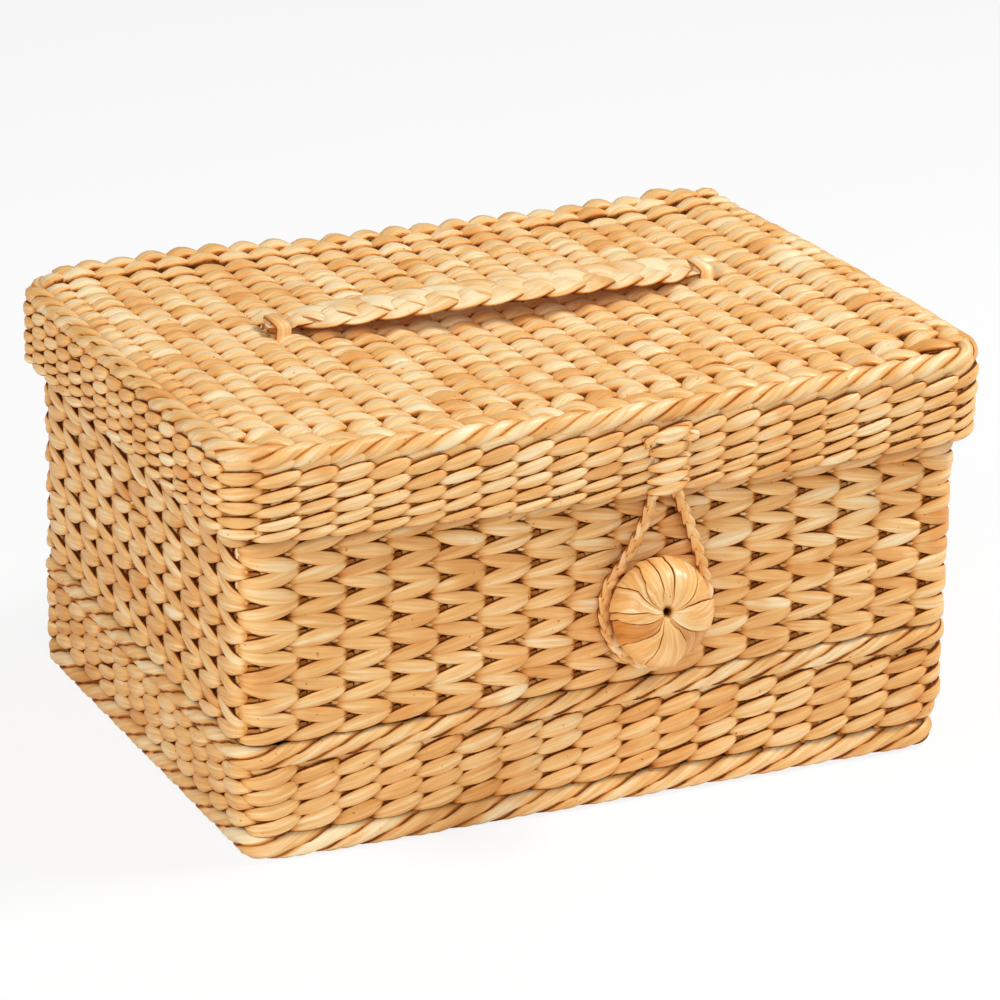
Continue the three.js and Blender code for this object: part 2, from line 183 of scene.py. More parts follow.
def number(name, description, default):
    return bpy.props.IntProperty(name=name, description=description, default=default, min=1)


class TwinedBoxSizes(bpy.types.PropertyGroup):
    wall: length("Wall", "Two weavers with a stake between them", 0.0065)
    skirt_wall: length("Skirt", "Thickness of the lid's skirt", 0.0054)
    edge_width: length("Lid border", "Width of the lid's border seen from above", 0.01)
    belt_width: length("Belt", "Thickness of the belt from inside to outside", 0.0077)
    foot_width: length("Foot", "Width of the foot border seen from below", 0.009)
    strap_width: length("Strap", "Width of the plaited handle", 0.02)
    strap_wave: length("Strap wave", "Length of a strand's way across the plait and back", 0.039)
    strap_bow: length("Strap bow", "How far the handle's middle leans to the front", 0.012)
    box_corner: length("Box corner", "Outer radius of the box's upright corners", 0.011)
    lid_corner: length("Lid corner", "Outer radius of the lid's corners", 0.018)
    lower_courses: number("Lower courses", "Courses between foot and belt", 4)
    lower_stitches: number("Lower stitches", "Stitches round one lower course", 60)
    upper_courses: number("Upper courses", "Courses between belt and rim", 16)
    upper_stitches: number("Upper stitches", "Stitches round one upper course", 54)
    skirt_courses: number("Skirt courses", "Courses of the lid's skirt", 5)
    skirt_stitches: number("Skirt stitches", "Stitches round one skirt course", 74)
    panel_rows: number("Panel rows", "Rows of the lid's top from front to back", 24)
    panel_stitches: number("Panel stitches", "Stitches along one row of the lid's top", 22)
    floor_rows: number("Floor rows", "Rows of the floor from front to back", 22)
    floor_stitches: number("Floor stitches", "Stitches along one row of the floor", 18)
    border_turns: number("Border turns", "Turns of the three rope strands round the lid", 26)
    belt_turns: number("Belt turns", "Turns of the three rope strands round the wall", 20)
    foot_turns: number("Foot turns", "Turns of the three rope strands round the foot", 18)
    steps: number("Steps", "Cross-sections along one stitch", 8)
    cord: length("Clasp cord", "Thickness of the clasp cord", 0.0048)
    seed: number("Seed", "Start of the random draws", 11)


class TwinedBoxColours(bpy.types.PropertyGroup):
    pale: tint("Pale straw", "Lightest strands", (0.98, 0.8, 0.49))
    honey: tint("Honey straw", "Most strands", (0.88, 0.5, 0.175))
    tan: tint("Tan straw", "Darkest strands", (0.66, 0.25, 0.045))
    russet: tint("Russet", "Strands in the shade of others", (0.36, 0.095, 0.011))
    # The darkest tint: specks and dry cracks of the straw, and the painted shade deep in creases
    # and under tucked ends.
    speck_and_shade: tint("Fleck", "Specks, dry cracks and creases", (0.12, 0.028, 0.003))
    blush: tint("Blush", "Orange patches of some strands", (0.75, 0.29, 0.055))
    floor: tint("Floor", "Studio floor", (0.93, 0.93, 0.93))


def add_object(name, data):
    made = bpy.data.objects.new(name, data)
    bpy.context.scene.collection.objects.link(made)
    return made


def sizes():
    return bpy.context.scene.twined_box_sizes


def colours():
    return bpy.context.scene.twined_box_colours


# Materials
class Wire:
    """A node's output socket that takes part in Python arithmetic."""

    def __init__(self, tree, socket):
        self.tree = tree
        self.socket = socket

    def add(self, kind, settings=None, values=None, output=0):
        """Adds a node: settings first, then the values or wires of its sockets."""
        node = self.tree.nodes.new(kind)
        for name, value in (settings or {}).items():
            if name == "stops":
                fill_ramp(node.color_ramp, value)
            else:
                setattr(node, name, value)
        for name, value in (values or {}).items():
            if isinstance(value, Wire):
                self.tree.links.new(value.socket, node.inputs[name])
            else:
                node.inputs[name].default_value = value
        return Wire(self.tree, node.outputs[output])

    def math(self, operation, first, second=0.0):
        return self.add("ShaderNodeMath", {"operation": operation}, {0: first, 1: second})

    def __add__(self, other):
        return self.math("ADD", self, other)

    def __sub__(self, other):
        return self.math("SUBTRACT", self, other)

    def __mul__(self, other):
        return self.math("MULTIPLY", self, other)

    def __rsub__(self, other):
        return self.math("SUBTRACT", other, self)

    __radd__ = __add__
    __rmul__ = __mul__

    def between(self, start, end):
        """0 up to start, 1 from end, smooth in between."""
        limits = {"Value": self, "From Min": start, "From Max": end}
        return self.add("ShaderNodeMapRange", {"interpolation_type": "SMOOTHSTEP"}, limits)

    def blend(self, first, second):
        """A colour from first to second by this factor."""
        values = {0: self, 6: first, 7: second}
        return self.add("ShaderNodeMix", {"data_type": "RGBA"}, values, output=2)

    def stretched(self, scale):
        return self.add("ShaderNodeVectorMath", {"operation": "MULTIPLY"}, {0: self, 1: scale})

    def part(self, axis):
        return self.add("ShaderNodeSeparateXYZ", values={0: self}, output=axis)

    def noise(self, scale, detail, distortion=0.0):
        values = {"Vector": self, "Scale": scale, "Detail": detail, "Distortion": distortion}
        return self.add("ShaderNodeTexNoise", values=values)


def fill_ramp(ramp, stops):
    while len(ramp.elements) < len(stops):
        ramp.elements.new(1.0)
    for element, (place, colour) in zip(ramp.elements, stops):
        element.position = place
        element.color = colour


def opaque(colour):
    return (*colour, 1.0)


def straw(name, paler=0.0, gloss=0.55):
    """Dry water hyacinth: lines along the strand, dry cracks at its tips, specks and patches, with
    the painted highlight and painted shade that the strands carry in their stitch attribute.

    The finish of a name is made once, at the first call for it.
    """
    name = "dry_" + name
    material = bpy.data.materials.get(name)
    if material:
        return material
    material = bpy.data.materials.new(name)
    material.use_nodes = True
    tree = material.node_tree
    shader = tree.nodes["Principled BSDF"]
    start = Wire(tree, None)
    fibre = start.add("ShaderNodeAttribute", {"attribute_name": "fibre"}, output=1)
    stitch = start.add("ShaderNodeAttribute", {"attribute_name": "stitch"}, output=1)
    place = start.add("ShaderNodeTexCoord", output=3)
    # The stitch attribute holds the tone (painted paler on each crown as a highlight, and more tan
    # at the rims as painted shade), then the painted shade of rims, tucked ends and creases, then
    # how patchy the strand is.
    tone = stitch.part(0)
    painted_shade = stitch.part(1)
    patchy = stitch.part(2)

    lines = fibre.stretched((45.0, 900.0, 31.0)).noise(1.0, 3.0, 0.3)
    broad = fibre.stretched((40.0, 330.0, 17.0)).noise(1.0, 2.0, 0.5)
    patch = place.noise(55.0, 2.0)
    speck = place.noise(520.0, 1.0).between(0.73, 0.79)
    crack = fibre.stretched((55.0, 500.0, 23.0)).noise(1.0, 1.0, 0.8)
    crack = 1 - start.math("ABSOLUTE", crack - 0.5).between(0.003, 0.03)
    crack = crack * painted_shade.between(0.1, 0.8)

    shade = tone * 0.7 + lines * 0.8 + broad * 0.6 + patch * 0.45 - 0.88 - paler
    palette = colours()
    # Specks and cracks are the straw's own marks; the painted shade takes rims, tucked ends and
    # creases towards russet and the darkest tint.
    marks = speck * 0.35 + crack * 0.4 + painted_shade.between(0.05, 0.9) * 0.85
    tints = (palette.pale, palette.honey, palette.tan, palette.russet, palette.speck_and_shade)
    stops = tuple(zip((0.0, 0.25, 0.55, 0.78, 1.0), map(opaque, tints)))
    colour = start.add("ShaderNodeValToRGB", {"stops": stops}, {0: shade * 0.68 + marks})
    blush = patch.between(0.45, 0.68) * patchy.between(0.45, 0.95) * (1 - painted_shade) * 0.5
    colour = blush.blend(colour, opaque(palette.blush))
    relief = lines * 0.5 + broad * 0.8 - crack * 0.6
    normal = start.add(
        "ShaderNodeBump", values={"Strength": 0.6, "Distance": 0.0005, "Height": relief}
    )
    rough = lines * 0.2 + gloss - 0.1
    tree.links.new(colour.socket, shader.inputs["Base Color"])
    tree.links.new(rough.socket, shader.inputs["Roughness"])
    tree.links.new(normal.socket, shader.inputs["Normal"])
    # The coat is left off where the painted shade lies.
    sheen = 0.45 - painted_shade.between(0.0, 0.4) * 0.45
    tree.links.new(sheen.socket, shader.inputs["Coat Weight"])
    shader.inputs["Coat Roughness"].default_value = 0.65 * gloss
    shader.inputs["Specular IOR Level"].default_value = 0.15
    return material


# Lines that strands follow
def rows(x, y, z):
    """One point or direction to a row; a number stands for a whole column."""
    return np.stack(np.broadcast_arrays(x, y, z), axis=1)


def unit(vectors):
    return vectors / np.linalg.norm(vectors, axis=1, keepdims=True)


def slender(away, ease):
    """How full a strand is this far away from its nearer end: full from ease on."""
    return np.sqrt(np.clip(away / ease, 0, 1))


def settle_box(points):
    """The hand-made box is not true: its belt climbs to the right and its foot is drawn in."""
    made = points.copy()
    belt = middle("belt_border")[2]
    top = high("rim_border")[2]
    share = np.interp(points[:, 2], (0.0, belt, top), (0.0, 1.0, 0.0))
    made[:, 2] += 0.0027 * share * points[:, 0] / 0.14
    lower = np.interp(points[:, 2], (0.0, belt), (1.0, 0.0))
    left = np.clip(0.5 - points[:, 0] / WALL_SIZE[0], 0, 1)
    front = np.clip(0.5 - points[:, 1] / WALL_SIZE[1], 0, 1)
    made[:, 0] += 0.005 * lower * left**3 * front
    made[:, 0] -= 0.0035 * np.clip(1 - points[:, 2] / 0.02, 0, 1) * (1 - left) ** 3
    made[:, 1] += 0.003 * lower * left**6 * front**3
    return made


def settle_lid(points):
    """The hand-made lid is highest at its right corners and sags along its front and its back."""
    made = points.copy()
    right = points[:, 0] / LID_SIZE[0] + 0.5
    back = points[:, 1] / LID_SIZE[1] + 0.5
    corners = (0.002 + 0.0012 * right) * (1 - back) + (0.0009 + 0.0027 * right) * back
    along = np.clip(1 - (2 * points[:, 0] / LID_SIZE[0]) ** 2, 0, 1)
    sag = along * (0.0043 * (1 - back) + 0.0012 * back)
    crown = 0.003 * right**6 * np.clip(4 * back * (1 - back), 0, 1)
    crown += 0.0024 * back**4 * np.exp(-(((right - 0.22) / 0.14) ** 2))
    upper = np.interp(points[:, 2], (HINGE[2], HINGE[2] + 0.03), (0.4, 1.0))
    made[:, 2] += (corners + crown) * upper - sag * (0.6 + 0.4 * upper)
    return made


def settle_edge(points):
    """The lid's border lies lower along its left side and back, where the rows turn over it."""
    made = settle_lid(points)
    back = points[:, 1] / LID_SIZE[1] + 0.5
    left = 0.5 - points[:, 0] / LID_SIZE[0]
    made[:, 2] -= np.clip((back - 0.08) / 0.16, 0, 1) * (0.0018 * left + 0.0002)
    return made


def settle_panel(points):
    """The lid's rows rise to the right and the back, and lie over the border at the right."""
    made = settle_lid(points)
    right = np.clip(8 * points[:, 0] / LID_SIZE[0] - 3, 0, 1)
    left = np.clip(-8 * points[:, 0] / LID_SIZE[0] - 3, 0, 1)
    back = np.clip(7 * points[:, 1] / LID_SIZE[1] - 2.6, 0, 1)
    made[:, 0] += 0.004 * right + 0.0025 * left
    made[:, 2] += 0.0042 * right + 0.001 * left + 0.0044 * back - 0.0005
    return made


def ring_route(size, corner, inset, z, settle):
    """A closed line round a rounded rectangle, as a function of its share from 0 to 1."""
    radius = corner - inset
    half_x = size[0] / 2 - corner
    half_y = size[1] / 2 - corner
    arc = math.pi * radius / 2
    runs = (2 * half_x, arc, 2 * half_y, arc, 2 * half_x, arc, 2 * half_y, arc)
    knots = np.concatenate(([0], np.cumsum(runs)))
    xs = (-half_x, half_x, half_x, half_x, half_x, -half_x, -half_x, -half_x, -half_x)
    ys = (-half_y, -half_y, -half_y, half_y, half_y, half_y, half_y, -half_y, -half_y)
    quarter = math.pi / 2
    headings = np.array((0, 0, 1, 1, 2, 2, 3, 3, 4)) * quarter

    def route(share):
        along = np.mod(share, 1.0) * knots[-1]
        heading = np.interp(along, knots, headings)
        out = rows(np.sin(heading), -np.cos(heading), 0.0)
        centre = rows(np.interp(along, knots, xs), np.interp(along, knots, ys), z) + out * radius
        return settle(centre), out, np.tile(UP, (len(along), 1))

    route.length = knots[-1]
    return route


def row_route(reach, y, z, dip, settle):
    """A row along X on a face that looks up; its ends turn down beside the border."""
    bend = 0.007

    def route(share):
        x = reach * (2 * share - 1)
        inward = np.clip((np.abs(x) - reach + bend) / bend, 0, 1)
        level = z - dip * (1 - np.sqrt(1 - 0.96 * inward**2))
        centre = settle(rows(x, y, level))
        side = np.tile((0.0, 1.0, 0.0), (len(x), 1))
        return centre, unit(np.cross(np.gradient(centre, axis=0), side)), side

    route.length = 2 * reach
    return route


def line_route(start, end, out):
    """A straight line from start to end on a face that looks along out."""
    start, end, out = (np.array(p, float) for p in (start, end, out))
    side = np.cross(out, end - start)
    side = side / np.linalg.norm(side)

    def route(share):
        centre = start + np.outer(share, end - start)
        return centre, np.tile(out, (len(share), 1)), np.tile(side, (len(share), 1))

    route.length = np.linalg.norm(end - start)
    return route


def read_off(at, marks, points):
    """Points between those that are given at rising marks."""
    return np.stack([np.interp(at, marks, points[:, axis]) for axis in range(3)], axis=1)


def curve_points(points, count):
    """Evenly spaced points on a smooth curve through the given ones."""
    points = np.array(points, float)
    before = 2 * points[0] - points[1]
    after = 2 * points[-1] - points[-2]
    held = np.concatenate(([before], points, [after]))
    fine = []
    for a, b, c, d in zip(held, held[1:], held[2:], held[3:]):
        t = np.linspace(0, 1, 24, endpoint=False)[:, None]
        bend = (2 * a - 5 * b + 4 * c - d) * t**2 + (3 * b - a - 3 * c + d) * t**3
        fine.append(b + ((c - a) * t + bend) / 2)
    fine = np.concatenate((*fine, points[-1:]))
    along = np.concatenate(([0], np.cumsum(np.linalg.norm(np.diff(fine, axis=0), axis=1))))
    return read_off(np.linspace(0, along[-1], count), along, fine)


def curve_route(points, out, settle):
    """A smooth open line through points, beside a face that looks along out."""
    line = settle(curve_points(points, 400))
    gaps = np.linalg.norm(np.diff(line, axis=0), axis=1)
    shares = np.concatenate(([0], np.cumsum(gaps))) / gaps.sum()
    ahead = np.gradient(line, axis=0)
    out = np.array(out, float)

    def route(share):
        centre = read_off(share, shares, line)
        along = read_off(share, shares, ahead)
        side = unit(np.cross(np.tile(out, (len(share), 1)), along))
        return centre, unit(np.cross(along, side)), side

    route.length = gaps.sum()
    return route


# Strands
class Weave:
    """A mesh in the making, to which strands are added one by one."""

    def __init__(self, seed):
        self.bm = bmesh.new()
        self.places = []
        self.fibres = []
        self.marks = []
        self.draw = np.random.default_rng(sizes().seed * 1000 + seed)

    def strand(self, line, out, width, depth, tone, painted_shade, patchy, closed=False, curl=0.0, dark=1.0):
        """Rolls a grid up into one flat strand; width and depth are half its section.

        Painted shade darkens it where the shade given along it says, and darkens the rims of its
        face, where it meets the strands beside it, by a given strength. Its crown is painted paler,
        a painted highlight. curl bends it round a rope.
        """
        sides = len(SECTION) - 1
        count = len(line)
        if closed:
            turn = np.arange(count + 1) % count
            ahead = np.roll(line, -1, axis=0) - np.roll(line, 1, axis=0)
        else:
            turn = np.arange(count)
            ahead = np.gradient(line, axis=0)
        ahead = unit(ahead)
        face = unit(out - ahead * (out * ahead).sum(axis=1, keepdims=True))
        across = np.cross(ahead, face)
        aside = width[:, None] * np.cos(SECTION)[None, :]
        proud = depth[:, None] * np.sin(SECTION)[None, :] - curl * aside**2 / 2
        swell = across[:, None] * aside[:, :, None] + face[:, None] * proud[:, :, None]
        gaps = np.linalg.norm(np.diff(line, axis=0), axis=1)
        run = np.concatenate(([0], np.cumsum(gaps)))
        if closed:
            run = np.concatenate((run, [run[-1] + gaps[-1]]))
        fibre = np.zeros((len(turn), sides + 1, 3))
        fibre[:, :, 0] = run[:, None]
        fibre[:, :, 1] = aside[turn]
        fibre[:, :, 2] = self.draw.uniform(0, 10)
        # Painted shade on the rims of the face, for the shade in the creases between strands.
        rim = dark * np.clip((np.abs(np.cos(SECTION)) - 0.79) / 0.21, 0, 1)
        marks = np.zeros((len(turn), sides + 1, 3))
        # The crown of the face is painted paler and its rims more tan: a painted highlight and
        # painted shade.
        marks[:, :, 0] = tone[turn, None] + 0.36 * (np.abs(np.cos(SECTION)) - 0.45)
        marks[:, :, 1] = 1 - (1 - painted_shade[turn, None]) * (1 - rim)
        marks[:, :, 2] = patchy[turn, None]
        bmesh.ops.create_grid(self.bm, x_segments=sides, y_segments=len(turn) - 1, size=1.0)
        self.places.append((line[:, None] + swell)[turn].reshape(-1, 3))
        self.fibres.append(fibre.reshape(-1, 3))
        self.marks.append(marks.reshape(-1, 3))

    def plain_strand(self, line, out, width, depth, ease=0.25, closed=False, shaded=0.0):
        """A strand of one tone with painted shade: shaded darkens all of it, and open ends, which
        get slender over the share ease, are painted darker where they tuck under others.
        """
        count = len(line)
        share = np.linspace(0, 1, count)
        taper = np.ones(count)
        if not closed:
            taper = slender(np.minimum(share, 1 - share), ease)
        tone = np.full(count, self.draw.uniform(0.2, 0.8))
        patchy = np.full(count, self.draw.uniform())
        # Painted shade: as shaded says all along, and more at the slender ends that tuck under.
        painted_shade = np.maximum(shaded, 0.6 * (1 - taper))
        out = np.broadcast_to(np.array(out, float), (count, 3))
        self.strand(line, out, width * taper, depth * taper, tone, painted_shade, patchy, closed, dark=0.6)

    def twine(
        self, route, count, lean, rise, bulge, width, depth, shape=STITCH, closed=True, dark=1.0
    ):
        """Two strands that take turns before the stakes; a closed one begins behind a stake.

        Stitches climb to the right where lean is 1, and fall where it is -1.
        """
        steps = sizes().steps
        for partner in (0, 1):
            u = np.arange(count * steps + (0 if closed else 1)) / steps
            u = u + 1 - partner if closed else u
            centre, out, up = route(u / count)
            place = (u + partner + 1) % 2 - 1
            # The shape's last column is painted shade where the stitch's ends tuck under the
            # stitches beside it.
            front, height, broad, painted_shade = (np.interp(place, shape[0], row) for row in shape[1:])
            firm = np.clip(front, 0, 1)
            stitch = ((u + partner + 1) / 2).astype(int) % (count // 2)
            vary = self.draw.normal(0, 1, (5, count))
            reach = bulge * np.maximum(front, 0.6 * front) * (1 + 0.1 * vary[0][stitch] * firm)
            climb = lean * rise * height * (1 + 0.12 * vary[1][stitch] * firm)
            climb = climb + 0.08 * width * vary[2][stitch] * firm
            line = centre + out * reach[:, None] + up * climb[:, None]
            fullness = 1 + 0.08 * np.clip(vary[3][stitch], -2, 1.5) * firm
            ends = 1.0 if closed else slender(np.minimum(u, count - u), 0.12)
            half_width = width * broad * fullness * ends
            half_depth = depth * (0.8 + 0.2 * np.abs(front)) * ends
            # Each stitch is painted paler where it lies proud, a painted highlight.
            tone = np.clip(0.52 + 0.11 * vary[4], 0, 1)[stitch] - 0.08 * firm
            patchy = self.draw.uniform(0, 1, count)[stitch]
            self.strand(line, out, half_width, half_depth, tone, painted_shade, patchy, closed, dark=dark)

    def plait(self, route, waves, swing, lift, width, depth, steps=24, narrow=None):
        """Three flat strands; each goes from one edge over the middle and under it to the other."""
        share = np.linspace(0, 1, int(waves * steps) + 1)
        centre, out, side = route(share)
        shrink = np.ones(len(share)) if narrow is None else narrow(share)
        ends = slender(np.minimum(share, 1 - share) * waves, 0.06) * shrink
        for strand in range(3):
            phase = 2 * np.pi * (waves * share + strand / 3)
            away = swing * np.arcsin(0.88 * np.cos(phase)) / np.arcsin(0.88) * shrink
            over = lift * np.sin(2 * phase)
            line = centre + side * away[:, None] + out * over[:, None]
            fold = (phase / np.pi).astype(int)
            vary = self.draw.normal(0, 1, (2, fold.max() + 1))
            tone = np.clip(0.42 + 0.12 * vary[0], 0, 1)[fold]
            patchy = np.clip(0.5 + 0.25 * vary[1], 0, 1)[fold]
            # Painted shade where a strand passes under the others.
            painted_shade = np.clip(-0.5 - np.sin(2 * phase), 0, 1)
            turned = 1 - 0.12 * np.abs(np.cos(phase)) ** 6
            half_width = width * ends * turned
            self.strand(line, out, half_width, depth * ends, tone, painted_shade, patchy, dark=0.6)

    def lay(self, route, turns, strands, reach, width, depth, steps=16, closed=True, curl=0.0):
        """A rope of strands that turn round a line; reach is (out of the face, up it).

        The strands of a closed rope begin on its inner side.
        """
        share = np.arange(turns * steps + (0 if closed else 1)) / (turns * steps)
        for strand in range(strands):
            begin = 0.5 if closed else strand / strands
            wound = turns * share + begin
            centre, out, up = route(share + (begin - strand / strands) / turns)
            angle = 2 * np.pi * wound
            vary = self.draw.normal(0, 1, (4, turns + 2))
            if closed:
                vary[:, turns:] = vary[:, :1]
            turn = (wound + 0.5).astype(int) % turns
            bump = np.interp(wound % turns, np.arange(turns + 2), vary[0])
            cosine = np.cos(angle)[:, None]
            sine = np.sin(angle)[:, None]
            line = centre + out * cosine * reach[0] + up * sine * reach[1]
            face = unit(out * cosine / reach[0] + up * sine / reach[1])
            tone = np.clip(0.45 + 0.14 * vary[1], 0, 1)[turn]
            patchy = np.clip(0.5 + 0.3 * vary[2], 0, 1)[turn]
            painted_shade = np.zeros(len(share))
            ends = 1.0 if closed else slender(np.minimum(share, 1 - share) * turns, 0.1)
            half_width = width * (1 + 0.05 * bump) * ends
            half_depth = depth * (1 - 0.08 * np.abs(bump)) * ends
            marks = (tone, painted_shade, patchy)
            self.strand(line, face, half_width, half_depth, *marks, closed, curl, dark=0.65)

    def piece(self, name, body, material, nodes):
        """Puts every corner in its place, closes the seams and hands the mesh over as a piece."""
        mesh = bpy.data.meshes.new(name)
        self.bm.to_mesh(mesh)
        self.bm.free()
        mesh.vertices.foreach_set("co", np.concatenate(self.places).ravel())
        for layer, rows in (("fibre", self.fibres), ("stitch", self.marks)):
            attribute = mesh.attributes.new(layer, "FLOAT_VECTOR", "POINT")
            attribute.data.foreach_set("vector", np.concatenate(rows).ravel())
        closing = bmesh.new()
        closing.from_mesh(mesh)
        bmesh.ops.remove_doubles(closing, verts=closing.verts, dist=2e-6)
        bmesh.ops.recalc_face_normals(closing, faces=closing.faces)
        closing.to_mesh(mesh)
        closing.free()
        mesh.shade_smooth()
        made = add_object(name, mesh)
        mesh.materials.append(material)
        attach(made, body)
        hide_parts(*nodes)
        return made


def wall_ring(z):
    inset = sizes().wall / 2
    return ring_route(WALL_SIZE, sizes().box_corner, inset, z, settle_box)


def lid_ring(z, inset):
    return ring_route(LID_SIZE, sizes().lid_corner, inset, z, settle_lid)


def row_reach(aside, half_along, half_across, corner):
    """Half the length of a row that lies aside of the middle of a panel with rounded corners."""
    into = min(max(0.0, abs(aside) - (half_across - corner)), corner)
    return half_along - corner + math.sqrt(corner**2 - into**2)


def course_levels(node, courses, growth=0.0):
    """Middles and heights of a band's courses; growth makes the upper ones higher."""
    heights = np.linspace(1 - growth, 1 + growth, courses)
    heights = heights * (high(node)[2] - low(node)[2]) / heights.sum()
    return low(node)[2] + np.cumsum(heights) - heights / 2, heights


def add_stakes(weave, route_at, count, bottom, top):
    """Upright stakes: some show where the weavers cross, the others lie behind the stitches."""
    count = 2 * count
    share = np.arange(count) / count
    half = 0.36 * route_at(bottom).length / count
    levels = np.linspace(bottom, top, 7)
    columns = np.stack([route_at(z)(share)[0] for z in levels])
    out = route_at(bottom)(share)[1]
    for stake in range(count):
        line = columns[:, stake] + 0.0004 * out[stake]
        weave.plain_strand(line, out[stake], half, depth=0.0013, ease=0.06)


class TWINEDBOX_OT_walls(bpy.types.Operator):
    """Twine the lower and the upper band of the box wall"""

    bl_idname = "twined_box.walls"
    bl_label = "Walls"

    def execute(self, context):
        size = sizes()
        finish = straw("wall_straw", -0.03)
        levels, heights = course_levels("lower_band", size.lower_courses)
        pitch = heights[0]
        weave = Weave(1)
        stitch = {"lean": 1, "rise": 0.32 * pitch, "bulge": 0.0021, "width": 0.56 * pitch}
        for z in levels:
            weave.twine(wall_ring(z), size.lower_stitches, depth=0.0017, **stitch)
        level = levels[-1] + 0.8 * pitch
        tucked = ring_route(WALL_SIZE, size.box_corner, 0.75 * size.wall, level, settle_box)
        weave.twine(tucked, size.lower_stitches, depth=0.0015, **stitch)
        add_stakes(weave, wall_ring, size.lower_stitches, levels[0] - pitch, levels[-1] + pitch)
        weave.piece("lower_weave", "box", finish, ["lower_band"])

        levels, heights = course_levels("upper_band", size.upper_courses)
        pitch = heights[0]
        half = size.upper_courses // 2
        bold = {"lean": 1, "rise": 0.32 * pitch, "bulge": 0.0021, "width": 0.59 * pitch}
        counter = {"lean": -1, "rise": 0.26 * pitch, "bulge": 0.0019, "width": 0.58 * pitch}
        parts = (
            (2, "upper_weave_low", range(0, half)),
            (3, "upper_weave_high", range(half, len(levels))),
        )
        for seed, name, courses in parts:
            weave = Weave(seed)
            for course in courses:
                stitch = counter if course % 2 else bold
                route = wall_ring(levels[course])
                weave.twine(route, size.upper_stitches, depth=0.0015, **stitch)
            bottom = levels[courses[0]] - pitch
            top = levels[courses[-1]] + pitch
            add_stakes(weave, wall_ring, size.upper_stitches, bottom, top)
            weave.piece(name, "box", finish, ["upper_band"])
        return {"FINISHED"}


class TWINEDBOX_OT_borders(bpy.types.Operator):
    """Lay the rope borders of foot, belt, rim and lid"""

    bl_idname = "twined_box.borders"
    bl_label = "Rope Borders"

    def execute(self, context):
        size = sizes()
        box = ("box", WALL_SIZE, size.box_corner)
        self.rope(10, "foot", *box, size.foot_turns, 3, size.foot_width, 0.42)
        self.rope(11, "belt", *box, size.belt_turns, 3, size.belt_width, 0.44)
        self.rope(12, "rim", *box, size.belt_turns, 3, size.wall, 0.4)
        lid = ("lid", LID_SIZE, size.lid_corner)
        self.rope(13, "lid", *lid, size.border_turns, 3, size.edge_width, 0.48)
        return {"FINISHED"}

    def rope(self, seed, name, body, plan, corner, turns, strands, thick, plump):
        """Strands that wind round a border; plump is their share of its thickness."""
        node = name + "_border"
        height = (high(node) - low(node))[2]
        proud = high(node)[0] - plan[0] / 2
        settle = settle_box if body == "box" else settle_edge
        route = ring_route(plan, corner, thick / 2 - proud, middle(node)[2], settle)
        depth = plump * min(thick, height) / 2
        reach = (thick / 2 - depth, height / 2 - depth)
        radius = (reach[0] + reach[1]) / 2
        spacing = route.length / (strands * turns)
        lean = math.atan2(2 * math.pi * radius, strands * spacing)
        width = 0.575 * spacing * math.sin(lean)
        curl = math.cos(lean) ** 2 / radius
        weave = Weave(seed)
        weave.lay(route, turns, strands, reach, width, depth, steps=36, curl=curl)
        weave.piece(name + "_rope", body, straw("rope_straw", 0.06), [node])


class TWINEDBOX_OT_lid_top(bpy.types.Operator):
    """Twine the rows of the lid's top"""

    bl_idname = "twined_box.lid_top"
    bl_label = "Lid Top"

    def execute(self, context):
        size = sizes()
        bottom, top = low("lid_panel"), high("lid_panel")
        pitch = (top[1] - bottom[1]) / size.panel_rows
        z = (bottom[2] + top[2]) / 2
        weave = Weave(20)
        corner = size.lid_corner - size.edge_width
        front_rows = ((-1, 0.32), (1, 0.32), (-1, 0.28))
        stitch = {"bulge": 0.0033, "width": 0.585 * pitch, "depth": 0.0022, "dark": 0.5}
        for row in range(size.panel_rows + 1):
            y = min(bottom[1] + (row + 0.5) * pitch, top[1] + 0.2 * pitch)
            reach = row_reach(y, top[0], top[1], corner)
            count = round(reach / top[0] * size.panel_stitches)
            lean, rise = front_rows[row] if row < len(front_rows) else (1, 0.06)
            route = row_route(reach + 0.003, y, z, 0.0045, settle_panel)
            weave.twine(route, count, lean, rise * pitch, shape=LENS, closed=False, **stitch)
        places = np.linspace(-1, 1, 2 * size.panel_stitches + 1) * (top[0] + 0.002)
        half = 0.54 * (places[1] - places[0])
        for x in places:
            reach = row_reach(x, top[1], top[0], corner) + 0.004
            ys = np.linspace(-reach, reach, 9)
            line = settle_panel(rows(x, ys, z))
            # The stakes get painted shade, as they lie in the shade under the rows.
            weave.plain_strand(line, UP, half, depth=0.0012, ease=0.01, shaded=0.45)
        weave.piece("lid_weave", "lid", straw("lid_straw", 0.12), ["lid_panel"])
        return {"FINISHED"}


